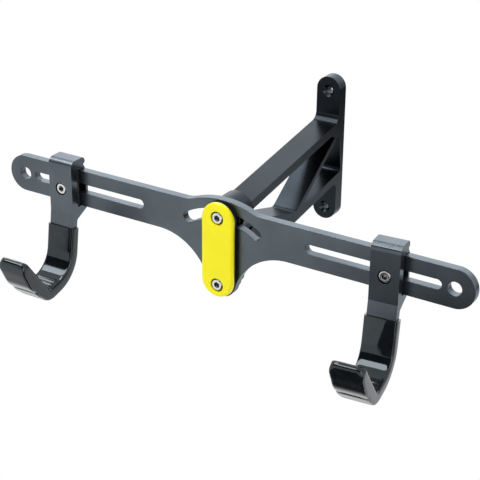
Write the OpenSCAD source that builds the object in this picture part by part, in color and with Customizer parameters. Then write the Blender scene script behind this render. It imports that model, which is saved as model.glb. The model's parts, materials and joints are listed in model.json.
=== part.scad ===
// Wall hook that holds one bicycle by its top tube.
// Millimetres. X runs along the wall, Y points into the wall and Z up.
// The origin is on the wall, midway between the two wall screw holes.

/* [Wall bracket] */
// Wall to the front face of the crossbar
reach = 155; // [135:1:190]
// Width of the bracket's plate and arms
bracket_w = 19; // [16:0.5:24]
// Distance between the two wall screw holes
wall_hole_gap = 92.6; // [86:0.2:110]
// Diameter of the wall screw holes
wall_hole_d = 5.6; // [4:0.1:7]
// Diameter of the wall screws' countersinks at the surface
countersink_d = 9.2; // [8:0.1:13]
// Thickness of the wall plate
plate_t = 9.6; // [8.5:0.1:13]
// How much further the plate reaches above its upper hole than below its lower one
plate_over = 1.4; // [0:0.1:4]
// Thickness of the upper arm
arm_t = 6.8; // [5:0.1:9]
// Slope of the upper arm, from the crossbar up to the wall
arm_slope = 8.6; // [6:0.1:11]
// Thickness of the slanted web between the arms
web_t = 3.8; // [3:0.1:6]
// Thickness of the lower arm
lower_t = 6.4; // [5:0.1:9]
// Distance from the wall to the knee of the lower arm
knee_y = 71; // [60:1:80]
// Depth of the knee below the origin
knee_z = 26; // [24:0.5:30]
// Diameter of the round barrel behind the crossbar
barrel_d = 25.4; // [22:0.2:30]
// Length of the barrel
barrel_l = 13; // [10:0.5:18]
// Thickness of the flange that reaches down to the pivot
flange_t = 4; // [3:0.1:6]

/* [Crossbar] */
// Overall length
bar_l = 365; // [330:1:420]
// Height of the straight stretches
bar_h = 27; // [24:0.2:32]
// Thickness
bar_t = 6; // [5:0.1:8]
// How far the slots lie below the middle of the wall screws
bar_drop = 6.5; // [3:0.5:10]
// Distance from the middle to the inner end of each long slot
slot_start = 64; // [60:0.5:70]
// Distance from an end to the outer end of its long slot
slot_end_in = 22.5; // [21:0.5:30]
// Height of the long slots
slot_h = 6.7; // [5.6:0.1:8]
// Diameter of the hole near each end
end_hole_d = 9.5; // [6:0.1:10]
// Distance from an end to the middle of its hole
end_hole_in = 13.8; // [12:0.1:15]
// Depth of the tilt pivot below the slots
pivot_drop = 41.8; // [38:0.2:46]
// Radius of the hump over the middle, about the pivot
hump_r = 61; // [60:0.2:64]
// Radius of the hollow curve beside the hump
hump_blend_r = 25; // [15:1:35]
// Radius of the round foot about the pivot
foot_r = 10.9; // [9:0.1:13]
// Radius of the hollow curve from the foot to the straight edge
foot_blend_r = 42; // [34:0.5:48]

/* [Tilt clamp] */
// Distance between the pivot bolt and the clamp bolt
bolt_gap = 49.6; // [47:0.2:52]
// Width of the curved slot
arc_slot_w = 7.8; // [7:0.1:9]
// Half of the angle that the curved slot spans
arc_half = 32.6; // [24:0.2:34]
// Width of the yellow cap
cap_w = 24.6; // [23:0.2:30]
// Thickness of the yellow cap
cap_t = 3.1; // [2.6:0.1:5]
// Radius of the cap's rounded rim
cap_rim_r = 1.6; // [0.5:0.1:2.2]
// Cap above the clamp bolt
cap_above = 10.7; // [9.5:0.1:13]
// Cap below the pivot bolt
cap_below = 8.8; // [8:0.1:12]
// Thickness of the black base under the cap
base_t = 3.1; // [2.6:0.1:5]
// How far the base's edge lies inside the cap's
base_in = 0.8; // [0.4:0.1:1.5]
// Thickness of the friction pad behind the crossbar
rear_pad_t = 1.5; // [1:0.1:2.5]
// Width of the friction pad behind the crossbar
rear_pad_w = 20.4; // [17:0.2:24]
// Outer diameter of the pivot bush
bush_d = 8; // [7.2:0.1:9]

/* [Hooks] */
// Distance from the left end of the crossbar to the middle of the left hook
hook_left_in = 53.2; // [36:0.1:90]
// Distance from the right end of the crossbar to the middle of the right hook
hook_right_in = 58.2; // [36:0.1:90]
// Angle at which the left hook stands off square, within its play
hook_left_turn = 0; // [-5:0.5:5]
// Angle at which the right hook stands off square, within its play
hook_right_turn = 5; // [-5:0.5:5]
// Width of the hooks
hook_w = 20; // [16:0.5:26]
// Thickness of the wall in front of the crossbar
hook_wall = 6; // [5.2:0.1:8]
// Thickness of the wall behind the crossbar
hook_rear = 2.2; // [2:0.1:4]
// Height of the metal over the crossbar
hook_top = 8.4; // [7:0.1:11]
// Thickness of the hanging strap
strap_t = 5.4; // [4:0.1:6]
// Depth of the start of the rear bend below the slots
hook_drop = 46.5; // [42:0.5:60]
// Forward lean of the strap below the clamp
strap_lean = 8; // [0:0.5:12]
// Radius of the rear bend at the middle of the metal
bend_r = 23.7; // [18:0.1:28]
// Angle of the rear bend
bend_a = 68; // [62:1:74]
// Length of the straight floor
floor_l = 8; // [4:0.5:18]
// Thickness of the floor and the toe
floor_t = 6.2; // [5:0.1:7]
// Radius of the front bend at the middle of the metal
toe_r = 8; // [7:0.1:12]
// Angle of the front bend
toe_a = 67.5; // [55:0.5:75]
// Length of the straight toe
toe_l = 36.1; // [30:0.1:46]
// Radius of the toe's two corners, seen square to it
toe_corner_r = 3; // [1:0.1:8]
// Radius of the nose, from the toe's inside to its upright end
nose_r = 1.8; // [1:0.1:3]
// Thickness of the dipped coat
coat_t = 1.2; // [0.6:0.1:2]
// Depth of the coat's upper edge below the slots
coat_top = 28.6; // [26:0.2:34]
// Thickness of the pad between the hook and the crossbar
pad_t = 3; // [2:0.1:4]
// How far that pad's edges lie inside the hook's
pad_in = 0.4; // [0.2:0.1:1]

/* [Bolts] */
// Thread diameter of all bolts
bolt_d = 5; // [4:0.1:5]
// Diameter of the bolt heads
head_d = 8.5; // [7.6:0.1:9]
// Height of the bolt heads
head_h = 3.5; // [2.6:0.1:3.5]
// Hexagon socket across its flats
socket_af = 4; // [2.5:0.1:4.5]
// Depth of the head below the surface round it
head_sunk = 0.3; // [0:0.1:0.8]
// Thread length inside the wall bracket
thread_grip = 9; // [7:0.5:10]
// Nut across its flats
nut_af = 8; // [7:0.1:10]
// Height of the nuts
nut_h = 4.4; // [3:0.1:6]
// Thickness of the washers under the nuts
washer_t = 1; // [0.6:0.1:1.6]
// Diameter of the washers under the nuts
washer_d = 10; // [9:0.1:14]

/* [Clearances] */
// Gap on each face of the crossbar inside the tilt clamp
face_gap = 0.1; // [0.05:0.05:0.3]
// Gap between a hook and the crossbar that it slides on
slide_gap = 0.15; // [0.1:0.05:0.3]
// Gap over and under the crossbar inside a hook
loop_gap = 0.4; // [0.2:0.05:0.8]
// Radial gap of the turning pivot
pivot_gap = 0.05; // [0.02:0.01:0.1]
// Radial gap round a bolt in a plain hole
bolt_gap_r = 0.2; // [0.1:0.05:0.3]
// Radial gap round a bolt head
head_gap = 0.4; // [0.2:0.05:0.6]
// Radial depth by which a bolt's thread bites
thread_bite = 0.05; // [0.02:0.01:0.1]

/* [Hidden] */

$fn = 96;
over = 1;

metal = "#565c63";
dark_metal = "#2b2f33";
yellow = "#f3e81a";
black = "#141517";
steel = "#c9c9c6";

bolt_r = bolt_d / 2;
bolt_hole_r = bolt_r + bolt_gap_r;
head_hole_r = head_d / 2 + head_gap;
head_deep = head_h + head_sunk;
half_h = bar_h / 2;
pivot_z = -pivot_drop;
clamp_z = pivot_z + bolt_gap;

// Places along Y, from the front face of the crossbar
rear_pad_y = bar_t + face_gap;
barrel_y = rear_pad_y + rear_pad_t;
barrel_end_y = barrel_y + barrel_l;
cap_back_y = -face_gap - base_t;
cap_front_y = cap_back_y - cap_t;
hook_front_y = -pad_t - hook_wall;
hook_play = slide_gap + hook_w / 2 * sin(max(abs(hook_left_turn), abs(hook_right_turn)));
loop_back_y = bar_t + hook_play;
hook_back_y = loop_back_y + hook_rear;

// Places along X
slot_end = bar_l / 2 - slot_end_in;
hook_left_x = hook_left_in - bar_l / 2;
hook_right_x = bar_l / 2 - hook_right_in;

// Puts children drawn about the middle of the crossbar's front face in place
module at_bar() {
    translate([0, -reach, -bar_drop])
        children();
}

// Cylinder along +Y
module rod_y(r, from, to) {
    translate([0, from, 0])
        rotate([-90, 0, 0])
            cylinder(r = r, h = to - from);
}

// Block centred on X, with its Y and Z limits
module block(w, y0, y1, z0, z1) {
    translate([-w / 2, y0, z0])
        cube([w, y1 - y0, z1 - z0]);
}

// Flat piece with round ends, upright, from one end's middle to the other's
module upright_stadium(r, y0, y1, z_low, z_high) {
    for (z = [z_low, z_high])
        translate([0, 0, z])
            rod_y(r, y0, y1);
    block(2 * r, y0, y1, z_low, z_high);
}

// Extrudes a side view, drawn as [y, z], to a width centred on X
module side_view(w) {
    rotate([90, 0, 90])
        linear_extrude(w, center = true)
            children();
}

// Angle of a direction, and the part of a corner that its rounding takes
function angle_of(v) = atan2(v[1], v[0]);
function turn(a, b) = let (d = angle_of(b) - angle_of(a)) d > 180 ? d - 360 : d < -180 ? d + 360 : d;
function flat(p) = [p[0], p[1]];

// Corners [y, z, radius] as one outline, each corner rounded by an arc
function rounded(corners, steps = 8) = [
    for (i = [0 : len(corners) - 1])
        let (
            n = len(corners),
            here = flat(corners[i]),
            r = corners[i][2],
            into = here - flat(corners[(i + n - 1) % n]),
            away = flat(corners[(i + 1) % n]) - here,
            t = turn(into, away),
            side = t > 0 ? 1 : -1,
            unit_in = into / norm(into),
            start = here - unit_in * r * tan(abs(t) / 2),
            centre = start + side * r * [-unit_in[1], unit_in[0]]
        )
        if (r == 0) here
        else each [
            for (k = [0 : steps])
                let (a = angle_of(unit_in) - side * 90 + t * k / steps)
                centre + r * [cos(a), sin(a)]
        ]
];

// Points of an arc about [x, z]
function arc(x, z, r, from, to, steps = 16, first = 0) = [
    for (k = [first : steps])
        let (a = from + (to - from) * k / steps)
        [x + r * cos(a), z + r * sin(a)]
];

// Bolt along Y with its head in front: a low head with a hexagon socket
module bolt(length) {
    difference() {
        union() {
            rod_y(head_d / 2, 0, head_h);
            rod_y(bolt_r, head_h - 0.01, head_h + length);
        }
        rotate([-90, 0, 0])
            translate([0, 0, -over])
                cylinder(d = socket_af / cos(30), h = over + head_h * 0.6, $fn = 6);
    }
}

// Hole for a bolt with its head let in from the front face at y
module bolt_seat(y, to) {
    rod_y(head_hole_r, y - over, y + head_deep);
    rod_y(bolt_hole_r, y, to);
}

// Wall bracket: side view of the arms and the plate, drawn from the wall
barrel_wall_y = barrel_end_y - reach;
barrel_z = clamp_z + cap_above - barrel_d / 2;
arm_root_z = barrel_z + 5.9;
plate_low_z = -wall_hole_gap / 2;
plate_high_z = wall_hole_gap / 2 + plate_over;
function arm_top(y) = arm_root_z - bar_drop + (y - barrel_wall_y) * tan(arm_slope);
function arm_low(y) = arm_top(y) - arm_t / cos(arm_slope);
root_low_z = barrel_z - barrel_d / 2 - bar_drop;
under_slope = tan(8.8);
knee_low_z = -knee_z - lower_t - 1.4;

// The windows between the arms, and the web that parts them
big_window_in = 3;
big_window_front_h = 7.4;
big_window_rear_h = 3.4;
web_top_y = -14.8;
web_top = [web_top_y, arm_low(web_top_y) - big_window_rear_h];
web_foot = [-knee_y, -knee_z];
web_angle = angle_of(web_top - web_foot);
web_down = web_t / cos(web_angle);
rear_window_tip_in = 13.5;
rear_window_high_y = -7.7;
rear_window_low_y = -3.6;
function web_back(y) = web_foot[1] + (y + knee_y) * tan(web_angle) - web_down;
function low_top(y) = knee_low_z + lower_t + (y + knee_y) * under_slope;

module bracket_side() {
    polygon(rounded([
        [0, plate_high_z, 0],
        [-plate_t, plate_high_z, 0],
        [-plate_t, arm_top(-plate_t), 6.5],
        [barrel_wall_y - over, arm_top(barrel_wall_y - over), 0],
        [barrel_wall_y - over, root_low_z, 0],
        [-knee_y - 2, knee_low_z, 9],
        [-plate_t, knee_low_z + (knee_y - plate_t) * under_slope, 4],
        [-plate_t, plate_low_z, 0],
        [0, plate_low_z, 0],
    ]));
}

module big_window() {
    start_y = barrel_wall_y + big_window_in;
    polygon(rounded([
        [web_top_y, arm_low(web_top_y), 0.8],
        [start_y, arm_low(start_y), 2.4],
        [start_y, arm_low(start_y) - big_window_front_h, 2.4],
        [web_foot[0], web_foot[1], 6],
        [web_top[0], web_top[1], 0.8],
    ]));
}

module rear_window() {
    tip_y = -knee_y + rear_window_tip_in;
    polygon(rounded([
        [rear_window_high_y, web_back(rear_window_high_y), 1.8],
        [tip_y, web_back(tip_y), 1.2],
        [tip_y, low_top(tip_y), 1.2],
        [rear_window_low_y, low_top(rear_window_low_y), 3],
    ]));
}

// Gusset from the pivot to the lower arm, and its small window behind the flange,
// drawn about the middle of the crossbar's front face
flange_back_y = barrel_y + flange_t;
gusset_end_y = 62;
gusset_low_z = pivot_z + 4;
function root_low(y) =
    barrel_z - barrel_d / 2
    + (y - barrel_end_y) * (knee_low_z - root_low_z) / (-knee_y - barrel_wall_y);

module gusset_side() {
    polygon([
        [barrel_y + over, gusset_low_z],
        [flange_back_y + 4, gusset_low_z],
        [gusset_end_y, root_low(gusset_end_y)],
        [gusset_end_y, root_low(gusset_end_y) + over],
        [barrel_end_y, barrel_z],
        [barrel_y + over, barrel_z],
    ]);
}

module gusset_window() {
    polygon(rounded([
        [flange_back_y, -5.3, 0.8],
        [flange_back_y, -15.5, 0.8],
        [barrel_end_y + 5.4, -7, 0.4],
    ]));
}

// Flange behind the crossbar, which narrows from the barrel down to the pivot
flange_top_r = barrel_d / 2 - 1.2;
flange_low_r = 9;
flange_turn = asin((flange_top_r - flange_low_r) / (barrel_z - pivot_z));
boss_r = 7;

module flange() {
    translate([0, flange_back_y, 0])
        rotate([90, 0, 0])
            linear_extrude(flange_t)
                polygon(concat(
                    arc(0, barrel_z, flange_top_r, -flange_turn, 180 + flange_turn, 48),
                    arc(0, pivot_z, flange_low_r, 180 + flange_turn, 360 - flange_turn, 48)
                ));
}

// Wall screw hole with its countersink, from the plate's front
module wall_hole() {
    depth = (countersink_d - wall_hole_d) / 2;
    rod_y(wall_hole_d / 2, -plate_t - over, over);
    translate([0, -plate_t + depth, 0])
        rotate([90, 0, 0])
            cylinder(d1 = wall_hole_d, d2 = countersink_d + 2 * over, h = depth + over);
}

module wall_bracket() {
    bolt_end = barrel_y + thread_grip + 1;
    color(dark_metal)
        difference() {
            union() {
                side_view(bracket_w)
                    difference() {
                        union() {
                            bracket_side();
                            translate([-reach, -bar_drop])
                                gusset_side();
                        }
                        big_window();
                        rear_window();
                        translate([-reach, -bar_drop])
                            gusset_window();
                    }
                for (z = [plate_low_z, plate_high_z])
                    translate([0, 0, z])
                        rod_y(bracket_w / 2, -plate_t, 0);
                at_bar() {
                    translate([0, 0, barrel_z])
                        rod_y(barrel_d / 2, barrel_y, barrel_end_y);
                    flange();
                    translate([0, 0, pivot_z])
                        rod_y(boss_r, barrel_y, bolt_end + over);
                }
            }
            for (side = [-1, 1])
                translate([0, 0, side * wall_hole_gap / 2])
                    wall_hole();
            at_bar()
                for (z = [pivot_z, clamp_z])
                    translate([0, 0, z])
                        rod_y(bolt_r - thread_bite, barrel_y - over, bolt_end);
        }
}

// Crossbar: straight bar with a hump, a foot about the pivot, and its slots
hump_x = sqrt(pow(hump_r + hump_blend_r, 2) - pow(pivot_drop + half_h + hump_blend_r, 2));
hump_turn = acos(hump_x / (hump_r + hump_blend_r));
foot_x = sqrt(pow(foot_r + foot_blend_r, 2) - pow(pivot_drop - half_h - foot_blend_r, 2));
foot_turn = asin((pivot_drop - half_h - foot_blend_r) / (foot_r + foot_blend_r));
end_x = bar_l / 2 - half_h;

function mirrored(points) = [for (i = [len(points) - 2 : -1 : 1]) [-points[i][0], points[i][1]]];

// Right half of the outline, as [x, z], from the top of the hump to the foot
bar_outline = concat(
    arc(0, pivot_z, hump_r, 90, hump_turn),
    arc(hump_x, half_h + hump_blend_r, hump_blend_r, 180 + hump_turn, 270, first = 1),
    arc(end_x, 0, half_h, 90, -90, 36),
    arc(foot_x, -half_h - foot_blend_r, foot_blend_r, 90, 180 + foot_turn, 24),
    arc(0, pivot_z, foot_r, foot_turn, -90, first = 1)
);

module crossbar_outline() {
    translate([0, bar_t, 0])
        rotate([90, 0, 0])
            linear_extrude(bar_t)
                polygon(concat(bar_outline, mirrored(bar_outline)));
}

module long_slot() {
    r = slot_h / 2;
    for (x = [slot_start + r, slot_end - r])
        translate([x, 0, 0])
            rod_y(r, -over, bar_t + over);
    translate([slot_start + r, -over, -r])
        cube([slot_end - slot_start - slot_h, bar_t + 2 * over, slot_h]);
}

module arc_slot() {
    far = bolt_gap + arc_slot_w;
    translate([0, 0, pivot_z]) {
        difference() {
            rod_y(bolt_gap + arc_slot_w / 2, -over, bar_t + over);
            rod_y(bolt_gap - arc_slot_w / 2, -2 * over, bar_t + 2 * over);
            rotate([90, 0, 0])
                linear_extrude(4 * bar_t, center = true)
                    polygon([
                        [0, 0],
                        [far * sin(arc_half), far * cos(arc_half)] * 1.5,
                        [2 * far, -2 * far],
                        [-2 * far, -2 * far],
                        [-far * sin(arc_half), far * cos(arc_half)] * 1.5,
                    ]);
        }
        for (side = [-1, 1])
            translate([side * bolt_gap * sin(arc_half), 0, bolt_gap * cos(arc_half)])
                rod_y(arc_slot_w / 2, -over, bar_t + over);
    }
}

module crossbar() {
    color(metal)
        at_bar()
            difference() {
                crossbar_outline();
                for (side = [0, 1])
                    mirror([side, 0, 0]) {
                        long_slot();
                        translate([bar_l / 2 - end_hole_in, 0, 0])
                            rod_y(end_hole_d / 2, -over, bar_t + over);
                    }
                arc_slot();
                translate([0, 0, pivot_z])
                    rod_y(bush_d / 2 + pivot_gap, -over, bar_t + over);
            }
}

// Cap: a plate with round ends and a rounded rim at the front
cap_low_z = pivot_z - cap_below + cap_w / 2;
cap_high_z = clamp_z + cap_above - cap_w / 2;

module cap_section() {
    r = cap_w / 2;
    polygon(concat(
        [[0, 0], [r, 0], [r, cap_t - cap_rim_r]],
        [for (a = [15 : 15 : 90]) [r - cap_rim_r * (1 - cos(a)), cap_t - cap_rim_r * (1 - sin(a))]],
        [[0, cap_t]]
    ));
}

module cap_plate() {
    for (z = [cap_low_z, cap_high_z])
        translate([0, cap_back_y, z])
            rotate([90, 0, 0])
                rotate_extrude()
                    cap_section();
    translate([0, cap_back_y, cap_low_z])
        for (side = [0, 1])
            mirror([side, 0, 0])
                linear_extrude(cap_high_z - cap_low_z)
                    mirror([0, 1])
                        cap_section();
}

module clamp_cap() {
    color(yellow)
        at_bar()
            difference() {
                cap_plate();
                for (z = [pivot_z, clamp_z])
                    translate([0, 0, z])
                        bolt_seat(cap_front_y, over);
            }
}

module cap_base() {
    color(black)
        at_bar()
            difference() {
                upright_stadium(cap_w / 2 - base_in, cap_back_y, -face_gap, cap_low_z, cap_high_z);
                for (z = [pivot_z, clamp_z])
                    translate([0, 0, z])
                        bolt_seat(cap_front_y, over);
            }
}

module rear_friction_pad() {
    color(black)
        at_bar()
            difference() {
                upright_stadium(rear_pad_w / 2, rear_pad_y, barrel_y, pivot_z, clamp_z);
                for (z = [pivot_z, clamp_z])
                    translate([0, 0, z])
                        rod_y(bolt_hole_r, rear_pad_y - over, barrel_y + over);
            }
}

// The two bolts of the tilt clamp, threaded into the bracket
module cap_bolt(z) {
    head_y = cap_front_y + head_sunk;
    color(steel)
        at_bar()
            translate([0, head_y, z])
                bolt(barrel_y + thread_grip - head_y - head_h);
}

module clamp_bolt() {
    cap_bolt(clamp_z);
}

module pivot_bolt() {
    cap_bolt(pivot_z);
}

// Sleeves round those bolts, through the crossbar
module bush(z, r) {
    color(black)
        at_bar()
            translate([0, 0, z])
                difference() {
                    rod_y(r, 0, bar_t);
                    rod_y(bolt_hole_r, -over, bar_t + over);
                }
}

module pivot_bush() {
    bush(pivot_z, bush_d / 2);
}

module slot_bush() {
    bush(clamp_z, arc_slot_w / 2 - bolt_gap_r);
}

// Hooks, each as its place along X and its turn
left = [hook_left_x, hook_left_turn];
right = [hook_right_x, hook_right_turn];

// The clamp that wraps the crossbar, drawn as [y, z]
strap_y = hook_front_y + strap_t / 2;
top_z = half_h + hook_top;
loop_low_z = -half_h - 3;

// A wedge under the crossbar, and a notch in the upper rear edge
wedge_slope = 0.52;
rear_wall_top = 12;
notch_deep = 2.4;
notch_low = 5.4;
clamp_front_r = 4.8;
clamp_rear_r = 3.4;

// Where the lean starts, and where the clamp's own outline ends under the wedge
lean_z = -18;
clamp_low_z = -27;
function lean_at(z) = (lean_z - z) * tan(strap_lean);

module hook_clamp_side() {
    strap_back_y = hook_front_y + strap_t;
    wedge_low_z = loop_low_z - (hook_back_y - strap_back_y) * wedge_slope;
    polygon(rounded([
        [hook_front_y, lean_z, 0],
        [hook_front_y - lean_at(clamp_low_z), clamp_low_z, 0],
        [strap_back_y - lean_at(clamp_low_z), clamp_low_z, 0],
        [strap_back_y - lean_at(wedge_low_z), wedge_low_z, 3],
        [hook_back_y, loop_low_z, 1.2],
        [hook_back_y, top_z - rear_wall_top, 2],
        [hook_back_y - notch_deep - 2, top_z - notch_low, 0.5],
        [hook_back_y - notch_deep, top_z - notch_low + 1, 0.8],
        [hook_back_y - notch_deep, top_z, clamp_rear_r],
        [hook_front_y, top_z, clamp_front_r],
    ]));
}

module hook_loop_side() {
    polygon(rounded([
        [-pad_t, -half_h - loop_gap, 0.6],
        [loop_back_y, -half_h - loop_gap, 0.6],
        [loop_back_y, half_h + loop_gap, 0.6],
        [-pad_t, half_h + loop_gap, 0.6],
    ]));
}

// The bent strap: a station is a pair of points, inside and outside, square
// to the direction of travel, which turns from straight down to the toe's
bend_steps = 16;
toe_steps = 10;
leg_steps = 64;
strap_dir = 270 - strap_lean;
floor_dir = strap_dir - bend_a;
toe_dir = floor_dir - toe_a;
function right_of(a) = [sin(a), -cos(a)];
function along(a) = [cos(a), sin(a)];
function strap_at(z) = [strap_y - max(lean_at(z), 0), z];
bend_centre = strap_at(-hook_drop) + bend_r * right_of(strap_dir);
floor_from = bend_centre - bend_r * right_of(floor_dir);
floor_to = floor_from + floor_l * along(floor_dir);
toe_centre = floor_to + toe_r * right_of(floor_dir);
leg_from = toe_centre - toe_r * right_of(toe_dir);
tip_r = floor_t / 2;

// Extra thickness outside the toe, as [share of the toe's length, millimetres]:
// it swells to a ridge, dips at a crease, swells again and thins to the nose
toe_swell = [
    [0, 0], [0.05, 0.8], [0.14, 1.3], [0.235, 1.45], [0.26, 1.25], [0.283, 0.95], [0.31, 1.45],
    [0.366, 2], [0.443, 2.15], [0.53, 1.95], [0.66, 1.1], [0.8, 0.2], [0.9, -0.5], [1, -1.3],
];
function rise(table, i, j) = (table[j][1] - table[i][1]) / (table[j][0] - table[i][0]);
function slope_at(table, i) = rise(table, max(i - 1, 0), min(i + 1, len(table) - 1));
// A smooth curve through the table's points
function curved(t, table, i = 0) =
    t <= table[i + 1][0] || i == len(table) - 2
        ? let (
            span = table[i + 1][0] - table[i][0],
            u = (t - table[i][0]) / span,
            from = table[i][1],
            to = table[i + 1][1],
            out = slope_at(table, i) * span,
            in = slope_at(table, i + 1) * span
        )
            from + u * out + u * u * (3 * (to - from) - 2 * out - in)
                + u * u * u * (out + in - 2 * (to - from))
        : curved(t, table, i + 1);
function leg_outside(s) = tip_r + curved(s / toe_l, toe_swell);
function station(p, a, inside, outside) = [p + inside * right_of(a), p - outside * right_of(a)];

function strap_stations(grow, from_z) = concat(
    [
        for (z = from_z > lean_z ? [from_z, lean_z] : [from_z])
            station(strap_at(z), z > lean_z ? 270 : strap_dir, strap_t / 2 + grow, strap_t / 2 + grow)
    ],
    [
        for (i = [0 : bend_steps])
            let (
                a = strap_dir - bend_a * i / bend_steps,
                half = (strap_t + (floor_t - strap_t) * i / bend_steps) / 2 + grow
            )
            station(bend_centre - bend_r * right_of(a), a, half, half)
    ],
    [
        for (i = [0 : toe_steps])
            let (a = floor_dir - toe_a * i / toe_steps)
            station(toe_centre - toe_r * right_of(a), a, tip_r + grow, tip_r + grow)
    ],
    [
        for (i = [1 : leg_steps])
            let (s = end_station(grow) * i / leg_steps)
            station(leg_from + s * along(toe_dir), toe_dir, tip_r + grow, leg_outside(s) + grow)
    ]
);

// The nose, with an upright end from its round top down to the toe's outside
nose = leg_from + (toe_l - nose_r) * along(toe_dir) + (tip_r - nose_r) * right_of(toe_dir);
end_out = 2.6;
function end_station(grow) =
    (leg_from[0] - nose[0] + nose_r + grow - (end_out + grow) * right_of(toe_dir)[0]) / -along(toe_dir)[0];
function nose_edge(grow) = arc(nose[0], nose[1], nose_r + grow, toe_dir - 90, 180, 16);

module strap_side(grow, from_z) {
    stations = strap_stations(grow, from_z);
    last = len(stations) - 1;
    polygon(concat(
        [for (s = stations) s[0]],
        nose_edge(grow),
        [for (i = [last : -1 : 0]) stations[i][1]]
    ));
}

// What rounding takes off the toe's two corners, drawn as [x, distance along the toe]
module toe_corners(grow) {
    side_x = hook_w / 2 + grow;
    end = toe_l + grow;
    r = toe_corner_r + grow;
    for (side = [0, 1])
        mirror([side, 0, 0])
            translate([0, leg_from[0], leg_from[1]])
                rotate([toe_dir, 0, 0])
                    linear_extrude(4 * floor_t, center = true)
                        polygon(concat(
                            arc(side_x - r, end - r, r, 0, 90, 12),
                            [
                                [side_x - r, end + over],
                                [side_x + over, end + over],
                                [side_x + over, end - r],
                            ]
                        ));
}

// Each hook turns about the middle of the crossbar's thickness
module hook_at(place) {
    at_bar()
        translate([place[0], bar_t / 2, 0])
            rotate([0, 0, place[1]])
                translate([0, -bar_t / 2, 0])
                    children();
}

// The strap with its bends, grown by the coat's thickness or not at all
module strap(grow, from_z) {
    difference() {
        side_view(hook_w + 2 * grow)
            strap_side(grow, from_z);
        toe_corners(grow);
    }
}

module strap_metal() {
    strap(0, lean_z + 1);
}

module hook(place) {
    color(metal)
        hook_at(place)
            difference() {
                union() {
                    side_view(hook_w)
                        difference() {
                            hook_clamp_side();
                            hook_loop_side();
                        }
                    strap_metal();
                }
                bolt_seat(hook_front_y, hook_back_y + over);
            }
}

module hook_left() {
    hook(left);
}

module hook_right() {
    hook(right);
}

// Ribs across the floor and the front bend, on the coat's inner face
rib_r = 0.7;
rib_gap = 3.1;
rib_l = hook_w * 0.72;

module floor_ribs() {
    lift = tip_r + coat_t;
    for (i = [0 : 2])
        let (p = floor_to - i * rib_gap * along(floor_dir) + lift * right_of(floor_dir))
        translate([-rib_l / 2, p[0], p[1]])
            rotate([0, 90, 0])
                cylinder(r = rib_r, h = rib_l, $fn = 24);
    for (i = [0 : 2])
        let (p = leg_from + (1 + i * rib_gap) * along(toe_dir) + lift * right_of(toe_dir))
        translate([-rib_l / 2, p[0], p[1]])
            rotate([0, 90, 0])
                cylinder(r = rib_r, h = rib_l, $fn = 24);
}

module hook_coat(place) {
    color(black)
        hook_at(place)
            difference() {
                union() {
                    strap(coat_t, -coat_top);
                    floor_ribs();
                }
                strap_metal();
            }
}

module hook_coat_left() {
    hook_coat(left);
}

module hook_coat_right() {
    hook_coat(right);
}

// Pad between the hook's front wall and the crossbar: its back is flat to the bar
module clamp_pad(place) {
    color(black)
        difference() {
            hook_at(place)
                difference() {
                    block(hook_w - 2 * pad_in, -pad_t, bar_t / 2, pad_in - half_h, half_h - pad_in);
                    rod_y(bolt_hole_r, -pad_t - over, bar_t);
                }
            at_bar()
                translate([place[0], 0, 0])
                    block(2 * hook_w, -slide_gap, 2 * bar_t, -bar_h, bar_h);
        }
}

module clamp_pad_left() {
    clamp_pad(left);
}

module clamp_pad_right() {
    clamp_pad(right);
}

// Bolt, washer and nut of each hook
nut_y = hook_back_y + washer_t;

module hook_bolt(place) {
    color(steel)
        hook_at(place)
            translate([0, hook_front_y + head_sunk, 0])
                bolt(nut_y + nut_h + 0.8 - hook_front_y - head_deep);
}

module hook_bolt_left() {
    hook_bolt(left);
}

module hook_bolt_right() {
    hook_bolt(right);
}

module hook_washer(place) {
    color(steel)
        hook_at(place)
            difference() {
                rod_y(washer_d / 2, hook_back_y, nut_y);
                rod_y(bolt_hole_r, hook_back_y - over, nut_y + over);
            }
}

module hook_washer_left() {
    hook_washer(left);
}

module hook_washer_right() {
    hook_washer(right);
}

module hook_nut(place) {
    color(steel)
        hook_at(place)
            difference() {
                rotate([-90, 0, 0])
                    translate([0, 0, nut_y])
                        cylinder(d = nut_af / cos(30), h = nut_h, $fn = 6);
                rod_y(bolt_r - thread_bite, nut_y - over, nut_y + nut_h + over);
            }
}

module hook_nut_left() {
    hook_nut(left);
}

module hook_nut_right() {
    hook_nut(right);
}

wall_bracket();
crossbar();
clamp_cap();
cap_base();
rear_friction_pad();
clamp_bolt();
pivot_bolt();
pivot_bush();
slot_bush();
hook_left();
hook_right();
hook_coat_left();
hook_coat_right();
clamp_pad_left();
clamp_pad_right();
hook_bolt_left();
hook_bolt_right();
hook_washer_left();
hook_washer_right();
hook_nut_left();
hook_nut_right();
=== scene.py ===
import json
import math

import bpy
from mathutils import Matrix, Vector

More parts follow.
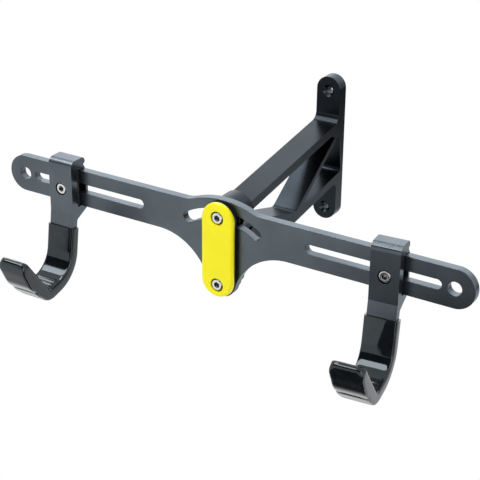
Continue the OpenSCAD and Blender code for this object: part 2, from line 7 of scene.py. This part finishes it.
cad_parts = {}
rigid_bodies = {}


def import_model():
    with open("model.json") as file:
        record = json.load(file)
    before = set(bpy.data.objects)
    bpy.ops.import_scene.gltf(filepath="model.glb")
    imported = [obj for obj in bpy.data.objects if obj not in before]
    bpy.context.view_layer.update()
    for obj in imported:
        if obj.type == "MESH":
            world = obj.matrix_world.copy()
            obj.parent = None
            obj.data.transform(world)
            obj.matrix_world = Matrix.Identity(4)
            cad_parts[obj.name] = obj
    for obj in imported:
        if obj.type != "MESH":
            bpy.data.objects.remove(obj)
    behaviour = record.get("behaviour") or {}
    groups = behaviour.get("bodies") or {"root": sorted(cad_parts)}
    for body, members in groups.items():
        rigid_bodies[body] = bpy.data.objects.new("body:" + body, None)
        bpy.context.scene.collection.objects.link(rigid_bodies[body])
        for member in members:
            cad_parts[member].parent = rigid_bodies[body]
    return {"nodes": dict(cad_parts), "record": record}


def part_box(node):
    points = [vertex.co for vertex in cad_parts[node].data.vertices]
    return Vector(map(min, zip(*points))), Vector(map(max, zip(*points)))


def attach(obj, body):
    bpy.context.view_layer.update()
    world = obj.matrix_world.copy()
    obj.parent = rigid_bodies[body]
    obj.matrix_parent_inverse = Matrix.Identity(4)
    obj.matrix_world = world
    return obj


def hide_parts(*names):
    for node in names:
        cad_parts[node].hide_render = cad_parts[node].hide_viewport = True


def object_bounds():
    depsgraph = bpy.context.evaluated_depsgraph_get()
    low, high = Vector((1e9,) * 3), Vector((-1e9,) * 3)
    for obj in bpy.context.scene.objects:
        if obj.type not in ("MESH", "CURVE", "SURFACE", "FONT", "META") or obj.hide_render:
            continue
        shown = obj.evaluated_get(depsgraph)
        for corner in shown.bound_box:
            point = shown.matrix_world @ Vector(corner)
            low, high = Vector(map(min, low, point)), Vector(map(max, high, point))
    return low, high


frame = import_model()
cad_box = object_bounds()

MM = 0.001
SIDES = ("left", "right")

# Sizes in millimetres, in the part's frame. The hooks' places are from the middle of the bar's
# front face, and the heights on a hook are from its bolt.
BAR_MIDDLE = Vector((0, -152, -6.5))
HOOK_X = {"left": -129.3, "right": 124.3}
HOOK_TURN = {"left": 0, "right": math.radians(5)}
HOOK_HALF = 10
STRAP_LEAN = math.radians(8)
LEAN_FROM = -18
CLAMP_INSIDE_TOP = 14.6
HEAD_R = 4.25
HEAD_H = 3.5
SOCKET_ACROSS = 4
SOCKET_DEEP = 2.9
SOCKET_CONE = 0.6
SHAFT_R = 2.5
SEAT_R = 4.9
NUT_ACROSS = 8

# How far edges are rounded or broken, in millimetres
STRAP_ROUND = 1.1
STRAP_EDGE = 0.5
COVER_ROUND = 1.6
COVER_BACK_EDGE = 0.25
SEAT_EDGE = 0.35
HEAD_ROUND = 1
HEAD_BACK_EDGE = 0.15
SOCKET_EDGE = 0.2
SHAFT_EDGE = 0.5
NUT_ROUND = 0.55

# Camera: where it looks, from where, and how far it is rolled
LENS_MM = 102.94
SENSOR_MM = 36
NEAREST_SEEN = 10 * MM
AIM = Vector((14.4, -154.78, -13.16)) * MM
CAMERA_AWAY = 913.62 * MM
CAMERA_TURN = math.radians(31.594)
CAMERA_RISE = math.radians(25.377)
CAMERA_ROLL = math.radians(0.554)

# Places this near, in metres, are one, and a face whose normal has at least this cosine to a
# direction faces it
SAME = 1e-6
FACING = 0.99


def add_camera():
    """A long lens, from the right and above."""
    flat = Vector((math.sin(CAMERA_TURN), -math.cos(CAMERA_TURN), 0)) * math.cos(CAMERA_RISE)
    towards = flat + Vector((0, 0, math.sin(CAMERA_RISE)))
    bpy.ops.object.camera_add(location=AIM + towards * CAMERA_AWAY)
    camera = bpy.context.object
    upright = towards.to_track_quat("Z", "Y").to_matrix()
    camera.rotation_euler = (upright @ Matrix.Rotation(CAMERA_ROLL, 3, "Z")).to_euler()
    camera.data.lens = LENS_MM
    camera.data.sensor_width = SENSOR_MM
    camera.data.clip_start = NEAREST_SEEN
    bpy.context.scene.camera = camera


add_camera()


# Material helpers


def linear(code):
    """An sRGB hex colour as the linear RGBA that shaders take."""
    srgb = [int(code[i:i + 2], 16) / 255 for i in (1, 3, 5)]
    return [c / 12.92 if c <= 0.04045 else ((c + 0.055) / 1.055) ** 2.4 for c in srgb] + [1]


def add_node(tree, kind, settings=None, **inputs):
    """Adds a node, sets its properties, and fills or links its inputs: From_Min is the one
    called From Min, and i0 is the first."""
    made = tree.nodes.new("ShaderNode" + kind)
    for key, value in (settings or {}).items():
        setattr(made, key, value)
    for key, value in inputs.items():
        by_number = key[0] == "i" and key[1:].isdigit()
        socket = made.inputs[int(key[1:]) if by_number else key.replace("_", " ")]
        if isinstance(value, bpy.types.NodeSocket):
            tree.links.new(value, socket)
        else:
            socket.default_value = value
    return made


def new_material(name, **shader):
    """A material with its Principled shader set, its tree, that shader and Object coordinates."""
    made = bpy.data.materials.new(name)
    made.use_nodes = True
    tree = made.node_tree
    principled = tree.nodes["Principled BSDF"]
    for key, value in shader.items():
        principled.inputs[key.replace("_", " ")].default_value = value
    place = add_node(tree, "TexCoord").outputs["Object"]
    return made, tree, principled, place


def grain(tree, place, size_mm, between=None, stretch=(1, 1, 1), detail=2):
    """Noise whose grains are about size_mm across, drawn out along an axis by a stretch below 1.
    Where two values are given, its middle part is spread between them."""
    scaled = add_node(tree, "Mapping", Vector=place, Scale=stretch).outputs["Vector"]
    noise = add_node(tree, "TexNoise", Vector=scaled, Scale=1 / (size_mm * MM), Detail=detail)
    if not between:
        return noise.outputs["Fac"]
    low, high = between
    made = add_node(tree, "MapRange", Value=noise.outputs["Fac"], From_Min=0.3, From_Max=0.7,
                    To_Min=low, To_Max=high)
    return made.outputs["Result"]


def tint(tree, principled, fac, dark, light):
    """Base colour between two hex colours, which are a Mix node's inputs 6 and 7."""
    mix = add_node(tree, "Mix", {"data_type": "RGBA"}, Factor=fac, i6=linear(dark), i7=linear(light))
    tree.links.new(mix.outputs[2], principled.inputs["Base Color"])


def relief(tree, principled, height, depth_mm, strength, under=None):
    """Raises the surface by a pattern, on top of another relief where one is given."""
    made = add_node(tree, "Bump", Height=height, Distance=depth_mm * MM, Strength=strength)
    if under:
        tree.links.new(under, made.inputs["Normal"])
    tree.links.new(made.outputs["Normal"], principled.inputs["Normal"])
    return made.outputs["Normal"]


# Finishes, one function for each


def anodised(name, dark, light, roughness):
    """Bead-blasted and dyed aluminium: a satin sheen with a fine even grain. The
    sawn and milled edges show lines along the bar, and the open grain dulls them.
    Beads and lines are drawn coarser than real ones, so that they show."""
    made, tree, principled, place = new_material(name, Metallic=1, Roughness=roughness,
                                                 Specular_Tint=linear("#ECF0F4"))
    tint(tree, principled, grain(tree, place, size_mm=26, between=(0, 1)), dark, light)
    beads_mm = 0.35
    dulled = grain(tree, place, beads_mm, between=(roughness - 0.04, roughness + 0.04))
    tree.links.new(dulled, principled.inputs["Roughness"])
    beads = relief(tree, principled, grain(tree, place, beads_mm), depth_mm=0.01, strength=0.4)
    lines = grain(tree, place, size_mm=0.5, stretch=(0.04, 1, 0.04))
    relief(tree, principled, lines, depth_mm=0.03, strength=0.5, under=beads)
    return made


def slate_anodised():
    return anodised("anodised_aluminium_slate", "#575E64", "#60686F", roughness=0.33)


def black_anodised():
    return anodised("anodised_aluminium_black", "#24292D", "#2B3035", roughness=0.3)


def yellow_cap():
    """Injection-moulded ABS, polished mould: glossy, with a faint ripple and fine smears."""
    made, tree, principled, place = new_material("moulded_abs_yellow", Roughness=0.2, IOR=1.36)
    tint(tree, principled, grain(tree, place, size_mm=14, between=(0, 1)), "#F7EA00", "#FAF004")
    smear = grain(tree, place, size_mm=3, between=(0.16, 0.27), detail=5)
    tree.links.new(smear, principled.inputs["Roughness"])
    relief(tree, principled, grain(tree, place, size_mm=5), depth_mm=0.02, strength=0.3)
    return made


def black_rubber():
    """Moulded nitrile rubber: dull black with a fine open grain."""
    made, tree, principled, place = new_material("nitrile_rubber_black", Roughness=0.75)
    clouds = grain(tree, place, size_mm=2, between=(0, 1), detail=6)
    tint(tree, principled, clouds, "#101011", "#1B1C1D")
    relief(tree, principled, grain(tree, place, size_mm=0.3), depth_mm=0.02, strength=0.8)
    return made


def black_nylon():
    """Moulded nylon: matt with a light spark texture from the mould."""
    made, tree, principled, place = new_material("moulded_nylon_black", Roughness=0.5)
    tint(tree, principled, grain(tree, place, size_mm=6, between=(0, 1)), "#121314", "#1A1B1D")
    relief(tree, principled, grain(tree, place, size_mm=0.4), depth_mm=0.02, strength=0.6)
    return made


def black_coat():
    """Dip-coated soft PVC: glossy, with the slow waves of a coat that ran before it set."""
    made, tree, principled, place = new_material("dipped_pvc_black", Roughness=0.06, IOR=1.6,
                                                 Specular_Tint=linear("#DCEAF2"))
    clouds = grain(tree, place, size_mm=8, between=(0, 1), detail=4)
    tint(tree, principled, clouds, "#0B0E10", "#12161A")
    smear = grain(tree, place, size_mm=5, between=(0.04, 0.09), detail=1)
    tree.links.new(smear, principled.inputs["Roughness"])
    relief(tree, principled, grain(tree, place, size_mm=9, detail=0), depth_mm=0.05, strength=0.3)
    return made


def stainless():
    """Turned stainless steel: bright, with fine marks left by the tool, and painted shade where little of
    the open air is within reach, as in a socket."""
    made, tree, principled, place = new_material("turned_stainless_steel", Metallic=1, Roughness=0.2)
    reach_mm = 2.5
    # Painted shade: the base colour goes dark in the socket and other hollows, where ambient occlusion
    # finds little open air.
    open_air = add_node(tree, "AmbientOcclusion", Distance=reach_mm * MM).outputs["AO"]
    unshaded_share = add_node(tree, "MapRange", {"interpolation_type": "SMOOTHSTEP"}, Value=open_air,
                     From_Min=0.45, From_Max=0.8).outputs["Result"]
    blotches = grain(tree, place, size_mm=1.5, between=(0.85, 1), detail=4)
    blotches_and_painted_shade = add_node(tree, "Math", {"operation": "MULTIPLY"}, i0=blotches, i1=unshaded_share).outputs[0]
    tint(tree, principled, blotches_and_painted_shade, "#1C1C1D", "#DCDDDE")
    smear = grain(tree, place, size_mm=0.4, between=(0.14, 0.26), detail=4)
    tree.links.new(smear, principled.inputs["Roughness"])
    marks = grain(tree, place, size_mm=0.25, stretch=(0.3, 1, 1))
    relief(tree, principled, marks, depth_mm=0.008, strength=0.5)
    return made


FINISHES = {make.__name__: make() for make in (
    slate_anodised, black_anodised, yellow_cap, black_rubber, black_nylon, black_coat, stainless)}
NODE_SLOTS = {row["node"]: row["material_slot"] for row in frame["record"]["subparts"]}


# Modelling helpers

LOOSE = 0.002 * MM
FLAT_WITHIN = math.radians(0.4)
SHARP_FROM = math.radians(28)
SMOOTH_BELOW = math.radians(32)
FLATS_FIRST = 90


def deselect():
    bpy.ops.object.select_all(action="DESELECT")


def activate(piece):
    deselect()
    piece.select_set(True)
    bpy.context.view_layer.objects.active = piece


def apply_modifier(piece, kind, **settings):
    activate(piece)
    modifier = piece.modifiers.new(kind.lower(), kind)
    for key, value in settings.items():
        setattr(modifier, key, value)
    bpy.ops.object.modifier_apply(modifier=modifier.name)


def edit_all(piece):
    """Enters edit mode with everything selected."""
    activate(piece)
    bpy.ops.object.mode_set(mode="EDIT")
    bpy.ops.mesh.select_all(action="SELECT")


def edit(piece, kind, chosen):
    """Enters edit mode with only the chosen vertices, edges or faces selected."""
    activate(piece)
    bpy.ops.object.mode_set(mode="EDIT")
    bpy.ops.mesh.select_mode(type=kind)
    bpy.ops.mesh.select_all(action="DESELECT")
    bpy.ops.object.mode_set(mode="OBJECT")
    mesh = piece.data
    if kind == "FACE":
        for face in mesh.polygons:
            face.select = chosen(face.center, face.normal)
    elif kind == "EDGE":
        for edge in mesh.edges:
            edge.select = chosen(*(mesh.vertices[i].co for i in edge.vertices))
    else:
        for vertex in mesh.vertices:
            vertex.select = chosen(vertex.co)
    bpy.ops.object.mode_set(mode="EDIT")


def leave_edit():
    bpy.ops.object.mode_set(mode="OBJECT")


def solid_copy(node, name):
    """A copy of a CAD node with whole faces in place of loose triangles."""
    source = frame["nodes"][node]
    piece = bpy.data.objects.new(name, source.data.copy())
    bpy.context.scene.collection.objects.link(piece)
    piece.data.materials.clear()
    edit_all(piece)
    bpy.ops.mesh.remove_doubles(threshold=LOOSE)
    bpy.ops.mesh.dissolve_limited(angle_limit=FLAT_WITHIN)
    leave_edit()
    return piece


def soften(piece, width_mm, segments=3):
    """Rounds the sharp edges."""
    apply_modifier(piece, "BEVEL", width=width_mm * MM, segments=segments, limit_method="ANGLE",
                   angle_limit=SHARP_FROM, use_clamp_overlap=True, miter_outer="MITER_ARC")


def shade(piece):
    """Smooth over round stretches, while the large flats stay flat."""
    activate(piece)
    bpy.ops.object.shade_smooth_by_angle(angle=SMOOTH_BELOW)
    apply_modifier(piece, "WEIGHTED_NORMAL", keep_sharp=True, weight=FLATS_FIRST)


def dress(piece, body, node):
    """Gives a finished piece its place in the table and its material."""
    slot = NODE_SLOTS[node]
    piece.data.materials.clear()
    piece.data.materials.append(FINISHES[slot])
    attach(piece, body)
    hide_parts(node)


def refined(node, name, body, edge_mm):
    """A CAD node with its edges broken."""
    piece = solid_copy(node, name)
    soften(piece, edge_mm)
    shade(piece)
    dress(piece, body, node)


def rod(name, radius, y0, y1, z=0, sides=64, twist=0):
    """A solid cylinder along Y; sizes in metres."""
    deselect()
    bpy.ops.mesh.primitive_cylinder_add(vertices=sides, radius=radius, depth=y1 - y0,
                                        location=(0, (y0 + y1) / 2, z), rotation=(math.pi / 2, twist, 0))
    made = bpy.context.object
    made.name = name
    bpy.ops.object.transform_apply(location=True, rotation=True, scale=True)
    return made


def corner_radius(across_mm):
    """How far a hexagon's corners are from its middle, in metres."""
    return across_mm / 2 / math.cos(math.pi / 6) * MM


def hexagon(name, across_mm, y0, y1):
    """A solid hexagon along Y, of a width across its flats."""
    return rod(name, corner_radius(across_mm), y0, y1, sides=6)


def combine(piece, tool, operation):
    """A boolean with a tool, which is used up."""
    apply_modifier(piece, "BOOLEAN", object=tool, operation=operation, solver="EXACT")
    bpy.data.objects.remove(tool)


def bevel_edges(piece, chosen, width_mm, segments):
    edit(piece, "EDGE", chosen)
    bpy.ops.mesh.bevel(offset=width_mm * MM, segments=segments, affect="EDGES", clamp_overlap=True)
    leave_edit()


def all_near(y):
    """Chooses edges whose two ends lie at one depth."""
    return lambda a, b: abs(a.y - y) < SAME and abs(b.y - y) < SAME


def from_axis(point, z):
    """How far a point is from the line along Y at a height on the middle plane."""
    return math.hypot(point.x, point.z - z)


def hook_turned(side, vector):
    """A vector of a hook's own upright frame, in the part's frame."""
    return Matrix.Rotation(HOOK_TURN[side], 3, "Z") @ vector


def hook_point(side, depth):
    """A point on a hook's bolt axis, at a depth in metres from the bar's middle."""
    middle = (BAR_MIDDLE + Vector((HOOK_X[side], 0, 0))) * MM
    return middle + hook_turned(side, Vector((0, depth, 0)))


def in_hook(side, point):
    """Where a point lies in a hook's own upright frame, in millimetres."""
    return Matrix.Rotation(-HOOK_TURN[side], 3, "Z") @ (point - hook_point(side, 0)) / MM


# Machined pieces, with their broken edges

refined("wall_bracket", "truss_bracket", "bracket", edge_mm=0.45)
refined("crossbar", "slotted_bar", "bar", edge_mm=0.35)
refined("cap_base", "cover_base", "bracket", edge_mm=0.3)
refined("rear_friction_pad", "friction_pad", "bracket", edge_mm=0.2)


def bent_strap(side):
    """The long outer edges are tumbled rounder than those inside the clamp."""
    node = f"hook_{side}"
    piece = solid_copy(node, f"{side}_hook_strap")
    near = 0.05
    front = min(in_hook(side, v.co).y for v in piece.data.vertices if in_hook(side, v.co).z > 0)

    def on_outer_side(point):
        x, y, z = in_hook(side, point)
        leaned = max(LEAN_FROM - z, 0) * math.tan(STRAP_LEAN)
        at_front = abs(y - front + leaned) < near
        return abs(x) > HOOK_HALF - near and (at_front or z > CLAMP_INSIDE_TOP)

    bevel_edges(piece, lambda a, b: on_outer_side(a) and on_outer_side(b), STRAP_ROUND, segments=4)
    soften(piece, STRAP_EDGE, segments=4)
    shade(piece)
    dress(piece, f"{side}_hook", node)


for side in SIDES:
    bent_strap(side)
    refined(f"clamp_pad_{side}", f"{side}_hook_pad", f"{side}_hook", edge_mm=0.35)
    refined(f"hook_washer_{side}", f"{side}_washer", f"{side}_hook", edge_mm=0.2)


# Yellow cover: a cylinder drawn out to a stadium, with a rounded rim and two screw seats


def clamp_cover():
    low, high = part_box("clamp_cap")
    radius = (high[0] - low[0]) / 2
    front, back = low[1], high[1]
    sides = 96
    piece = rod("clamp_cover", radius, front, back, z=low[2] + radius, sides=sides, twist=math.pi / sides)
    edit(piece, "VERT", lambda v: v.z > low[2] + radius)
    bpy.ops.transform.translate(value=(0, 0, high[2] - low[2] - 2 * radius))
    leave_edit()
    at_front = all_near(front)
    bevel_edges(piece, at_front, COVER_ROUND, segments=8)
    bevel_edges(piece, all_near(back), COVER_BACK_EDGE, segments=2)
    seat = SEAT_R * MM
    for node in ("clamp_bolt", "pivot_bolt"):
        bolt_low, bolt_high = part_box(node)
        z = (bolt_low[2] + bolt_high[2]) / 2
        combine(piece, rod("seat", seat, front - MM, back + MM, z=z), "DIFFERENCE")
        bevel_edges(piece, lambda a, b: at_front(a, b) and from_axis(a, z) < seat + SAME, SEAT_EDGE,
                    segments=3)
    shade(piece)
    dress(piece, "bracket", "clamp_cap")


clamp_cover()


# Socket screws: a master for each length of shaft, copied to its places


def socket_screw(shaft_mm):
    """Head towards -Y with its face at the origin."""
    head, end = HEAD_H * MM, (HEAD_H + shaft_mm) * MM
    piece = rod("screw", HEAD_R * MM, 0, head)
    at_face = all_near(0)
    bevel_edges(piece, at_face, HEAD_ROUND, segments=6)
    bevel_edges(piece, all_near(head), HEAD_BACK_EDGE, segments=2)
    socket = hexagon("socket", SOCKET_ACROSS, -MM, SOCKET_DEEP * MM)
    combine(piece, socket, "DIFFERENCE")
    edit(piece, "FACE", lambda centre, normal: abs(centre.y - SOCKET_DEEP * MM) < SAME)
    bpy.ops.mesh.poke(offset=-SOCKET_CONE * MM)
    leave_edit()
    reach = corner_radius(SOCKET_ACROSS) + SAME
    bevel_edges(piece, lambda a, b: at_face(a, b) and from_axis(a, 0) < reach, SOCKET_EDGE, segments=2)
    edit(piece, "FACE", lambda centre, normal: normal.y > FACING and centre.y > head - SAME)
    bpy.ops.mesh.inset(thickness=(HEAD_R - HEAD_BACK_EDGE - SHAFT_R) * MM)
    bpy.ops.mesh.extrude_region_move(TRANSFORM_OT_translate={"value": (0, end - head, 0)})
    leave_edit()
    bevel_edges(piece, all_near(end), SHAFT_EDGE, segments=2)
    shade(piece)
    return piece


def placed(master, name, where, turn=0):
    """A copy with its own mesh, moved to a place and turned about the upright."""
    mesh = master.data.copy()
    mesh.transform(Matrix.Translation(where) @ Matrix.Rotation(turn, 4, "Z"))
    piece = bpy.data.objects.new(name, mesh)
    bpy.context.scene.collection.objects.link(piece)
    return piece


def add_screws():
    low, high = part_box("clamp_bolt")
    master = socket_screw((high[1] - low[1]) / MM - HEAD_H)
    for node, name in (("clamp_bolt", "clamp_screw"), ("pivot_bolt", "pivot_screw")):
        low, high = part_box(node)
        screw = placed(master, name, Vector((0, low[1], (low[2] + high[2]) / 2)))
        dress(screw, "bracket", node)
    bpy.data.objects.remove(master)
    low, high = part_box("hook_bolt_left")
    master = socket_screw((high[1] - low[1]) / MM - HEAD_H)
    head_depth = low[1] - BAR_MIDDLE.y * MM
    for side in SIDES:
        screw = placed(master, f"{side}_hook_screw", hook_point(side, head_depth), HOOK_TURN[side])
        dress(screw, f"{side}_hook", f"hook_bolt_{side}")
    bpy.data.objects.remove(master)


add_screws()


# Nuts: a hexagon whose corners are turned off at both ends

TURNED_SPARE = 1.005


def add_nuts():
    low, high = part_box("hook_nut_left")
    height = high[1] - low[1]
    master = hexagon("nut", NUT_ACROSS, 0, height)
    turned = rod("turned", corner_radius(NUT_ACROSS) * TURNED_SPARE, 0, height)
    bevel_edges(turned, lambda a, b: abs(a.y - b.y) < SAME, NUT_ROUND, segments=3)
    combine(master, turned, "INTERSECT")
    shade(master)
    for side in SIDES:
        nut = placed(master, f"{side}_nut", hook_point(side, low[1] - BAR_MIDDLE.y * MM), HOOK_TURN[side])
        dress(nut, f"{side}_hook", f"hook_nut_{side}")
    bpy.data.objects.remove(master)


add_nuts()


# Dipped coats: the outer skin of the CAD coat, closed, and slackened as liquid plastic leaves it.
# Smoothing draws the sides in, so they start further out. It goes on where the coat turns round
# the side edges, ROUND_REACH millimetres wide. Above the rim, a spare length keeps it whole.

VOXEL = 0.36 * MM
SPARE = 4 * MM
DRAWN_IN = 0.35 * MM
ROUND_REACH = 4.5
SLACK_STEPS = 22
EDGE_STEPS = 100
NEAR_RIM = 0.01 * MM
COAT_SMOOTH_BELOW = math.radians(50)


def close_outer_skin(piece, below_rim, upward):
    """Takes the inner skin and the rim away, and closes the outer skin above where the rim was."""

    def on_rim(centre, normal):
        return normal.dot(upward) > FACING and below_rim(centre) < NEAR_RIM

    edit(piece, "FACE", on_rim)
    bpy.ops.mesh.delete(type="ONLY_FACE")
    leave_edit()
    widest = max(v.co.x for v in piece.data.vertices)
    edit(piece, "VERT", lambda v: v.x > widest - SAME)
    bpy.ops.mesh.select_linked()
    bpy.ops.mesh.select_all(action="INVERT")
    bpy.ops.mesh.delete(type="VERT")
    leave_edit()
    edit(piece, "EDGE", lambda a, b: max(below_rim(a), below_rim(b)) < NEAR_RIM)
    bpy.ops.mesh.extrude_region_move(TRANSFORM_OT_translate={"value": upward * SPARE})
    bpy.ops.mesh.select_all(action="SELECT")
    bpy.ops.mesh.fill_holes(sides=0)
    leave_edit()


def slacken(piece, side):
    """Smooths a closed skin, and most at its side edges."""
    sideways = hook_turned(side, Vector((DRAWN_IN, 0, 0)))
    for way in (-1, 1):
        edit(piece, "VERT", lambda v: way * in_hook(side, v).x > HOOK_HALF)
        bpy.ops.transform.translate(value=way * sideways)
        leave_edit()
    apply_modifier(piece, "REMESH", mode="VOXEL", voxel_size=VOXEL)
    apply_modifier(piece, "SMOOTH", factor=0.5, iterations=SLACK_STEPS)
    edges = piece.vertex_groups.new(name="side_edges")
    for vertex in piece.data.vertices:
        inward = HOOK_HALF - abs(in_hook(side, vertex.co).x)
        if inward < ROUND_REACH:
            edges.add([vertex.index], 1 - max(inward, 0) / ROUND_REACH, "REPLACE")
    apply_modifier(piece, "SMOOTH", factor=0.5, iterations=EDGE_STEPS, vertex_group=edges.name)


def dipped_coat(side):
    node = f"hook_coat_{side}"
    piece = solid_copy(node, f"{side}_hook_dip")
    rim = max((v.co.copy() for v in piece.data.vertices), key=lambda co: co.z)
    upward = hook_turned(side, Vector((0, math.sin(STRAP_LEAN), math.cos(STRAP_LEAN))))
    close_outer_skin(piece, lambda point: (rim - point).dot(upward), upward)
    slacken(piece, side)
    edit_all(piece)
    bpy.ops.mesh.bisect(plane_co=rim, plane_no=upward, use_fill=True, clear_outer=True)
    leave_edit()
    bpy.ops.object.shade_smooth_by_angle(angle=COAT_SMOOTH_BELOW)
    dress(piece, f"{side}_hook", node)


for side in SIDES:
    dipped_coat(side)

# The CAD nodes wear the same finishes

for name, node in frame["nodes"].items():
    node.data.materials.clear()
    node.data.materials.append(FINISHES[NODE_SLOTS[name]])


# Stage: a pale floor, a white world, soft lamps, and cards that only show in gloss

FLOOR_BELOW = 0.3
FLOOR_WIDE = 6
WORLD_STRENGTH = 0.6
LAMPS_AIM = Vector((0, -0.1, 0))

# The card that the leaning faces mirror. Each pair is two places between which its light changes:
# dark at the right, dim towards the wall and pale again close behind the hooks. It is a little
# brighter right of its left end, and its near end stays as pale as the left.
DARK_CARD_SIZE = (2.6, 1.6)
DARK_CARD_MIDDLE = (0.5, -0.9)
DARK_CARD_Z = -0.27
DARK_X = (-0.2, -0.06)
DARK_Y = (-1, -0.7)
DARK_LIGHT = 0.05
DIM_Y = (-0.42, -0.3)
DIM_LIGHT = 0.5
BRIGHTER_X = (-0.52, -0.36)
BRIGHTER_LIGHT = 1.2
PALE_Y = (-0.25, -0.14)
PALE_LIGHT = 1.8


def white_where_seen(tree, lit, output):
    """White to the camera and in gloss, and otherwise what is lit."""
    seen = add_node(tree, "LightPath").outputs
    either = {"operation": "MAXIMUM"}
    direct = add_node(tree, "Math", either, i0=seen["Is Camera Ray"], i1=seen["Is Glossy Ray"]).outputs[0]
    white_share = add_node(tree, "Math", either, i0=direct, i1=seen["Is Transmission Ray"]).outputs[0]
    kind = "Background" if output.bl_idname == "ShaderNodeOutputWorld" else "Emission"
    white = add_node(tree, kind, Color=(1, 1, 1, 1), Strength=1).outputs[0]
    mix = add_node(tree, "MixShader", i0=white_share, i1=lit, i2=white)
    tree.links.new(mix.outputs[0], output.inputs["Surface"])


def add_floor():
    """A pale painted studio floor, below the object."""
    deselect()
    bpy.ops.mesh.primitive_plane_add(size=FLOOR_WIDE, location=(0, 0, cad_box[0][2] - FLOOR_BELOW))
    floor = bpy.context.object
    floor.name = "studio_floor"
    made, tree, principled, place = new_material("painted_floor_pale", Roughness=0.8)
    tint(tree, principled, grain(tree, place, size_mm=40), "#E9E9E7", "#F2F2F0")
    white_where_seen(tree, principled.outputs[0], tree.nodes["Material Output"])
    floor.data.materials.append(made)


def light_world():
    world = bpy.data.worlds.new("studio")
    world.use_nodes = True
    bpy.context.scene.world = world
    tree = world.node_tree
    lit = tree.nodes["Background"]
    lit.inputs["Color"].default_value = linear("#F4F6FA")
    lit.inputs["Strength"].default_value = WORLD_STRENGTH
    white_where_seen(tree, lit.outputs[0], tree.nodes["World Output"])


def add_softbox(name, place, size, watts, in_gloss=True):
    """A rectangular lamp that faces the object."""
    bpy.ops.object.light_add(type="AREA", location=place)
    lamp = bpy.context.object
    lamp.name = name
    lamp.data.shape = "RECTANGLE"
    lamp.data.size, lamp.data.size_y = size
    lamp.data.energy = watts
    lamp.rotation_euler = (Vector(place) - LAMPS_AIM).to_track_quat("Z", "Y").to_euler()
    lamp.visible_glossy = in_gloss


def add_card(name, place, size, aim=None, turn=0):
    """A plane that shows only in gloss; returns its tree, its emission and its own coordinates."""
    deselect()
    bpy.ops.mesh.primitive_plane_add(size=1, location=place)
    card = bpy.context.object
    card.name = name
    card.scale = (*size, 1)
    card.rotation_euler = (0, 0, turn)
    if aim:
        card.rotation_euler = (Vector(aim) - Vector(place)).to_track_quat("Z", "Y").to_euler()
    for ray in ("camera", "diffuse", "transmission", "volume_scatter", "shadow"):
        setattr(card, "visible_" + ray, False)
    made = bpy.data.materials.new("card_" + name)
    made.use_nodes = True
    tree = made.node_tree
    glow = add_node(tree, "Emission", Color=(1, 1, 1, 1))
    tree.links.new(glow.outputs[0], tree.nodes["Material Output"].inputs["Surface"])
    card.data.materials.append(made)
    return tree, glow, add_node(tree, "TexCoord").outputs["Object"]


def add_plain_card(name, place, size, strength, aim=None, turn=0):
    glow = add_card(name, place, size, aim, turn)[1]
    glow.inputs["Strength"].default_value = strength


def add_dark_card():
    tree, glow, place = add_card("dark_floor", (*DARK_CARD_MIDDLE, DARK_CARD_Z), DARK_CARD_SIZE)
    apart = add_node(tree, "SeparateXYZ", Vector=place).outputs

    def change(axis, places, before, after):
        """A soft change of a value between two places of the scene along an axis."""
        i = "XY".index(axis)
        start, end = ((v - DARK_CARD_MIDDLE[i]) / DARK_CARD_SIZE[i] for v in places)
        made = add_node(tree, "MapRange", {"interpolation_type": "SMOOTHSTEP"}, Value=apart[axis],
                        From_Min=start, From_Max=end, To_Min=before, To_Max=after)
        return made.outputs["Result"]

    product = {"operation": "MULTIPLY"}
    dark = add_node(tree, "Math", product, i0=change("X", DARK_X, 0, 1), i1=change("Y", DARK_Y, 0, 1))
    light = add_node(tree, "Math", {"operation": "MULTIPLY_ADD"}, i0=dark.outputs[0],
                     i1=DARK_LIGHT - 1, i2=1)
    for factor in (change("Y", DIM_Y, 1, DIM_LIGHT), change("X", BRIGHTER_X, 1, BRIGHTER_LIGHT)):
        light = add_node(tree, "Math", product, i0=light.outputs[0], i1=factor)
    light = add_node(tree, "Mix", {"data_type": "FLOAT"}, Factor=change("Y", PALE_Y, 0, 1),
                     A=light.outputs[0], B=PALE_LIGHT)
    tree.links.new(light.outputs[0], glow.inputs["Strength"])


add_floor()
light_world()
add_softbox("key", place=(-0.6, -0.7, 1.3), size=(0.9, 0.9), watts=14, in_gloss=False)
add_softbox("fill", place=(1.2, -0.9, 0.5), size=(0.5, 0.9), watts=5)
add_softbox("rim", place=(-0.25, 0.75, 0.45), size=(1.7, 0.7), watts=6)
add_dark_card()

# Dark cards behind and in front, pale ones above for the upper faces, and two narrow dark flags

add_plain_card("dark_back", place=(0.6, 1.1, -0.26), size=(2, 1.1), strength=0.1)
add_plain_card("front_wall", place=(-0.6, -1.6, 1.35), size=(4, 1.7), strength=0.01, aim=(-0.6, 0, 1.35))
add_plain_card("overhead", place=(-0.8, -0.79, 1.35), size=(1.5, 0.65), strength=7.5,
               turn=-math.radians(30))
add_plain_card("top", place=(-0.64, -0.04, 1.35), size=(0.4, 0.42), strength=11)
add_plain_card("right_flag", place=(-0.014, -1.1, -0.26), size=(0.12, 0.5), strength=0.01,
               turn=-math.radians(12.4))
add_plain_card("left_flag", place=(-0.673, -1.013, -0.26), size=(0.1, 0.4), strength=0.01,
               turn=-math.radians(35))

bpy.context.scene.view_settings.view_transform = "Standard"
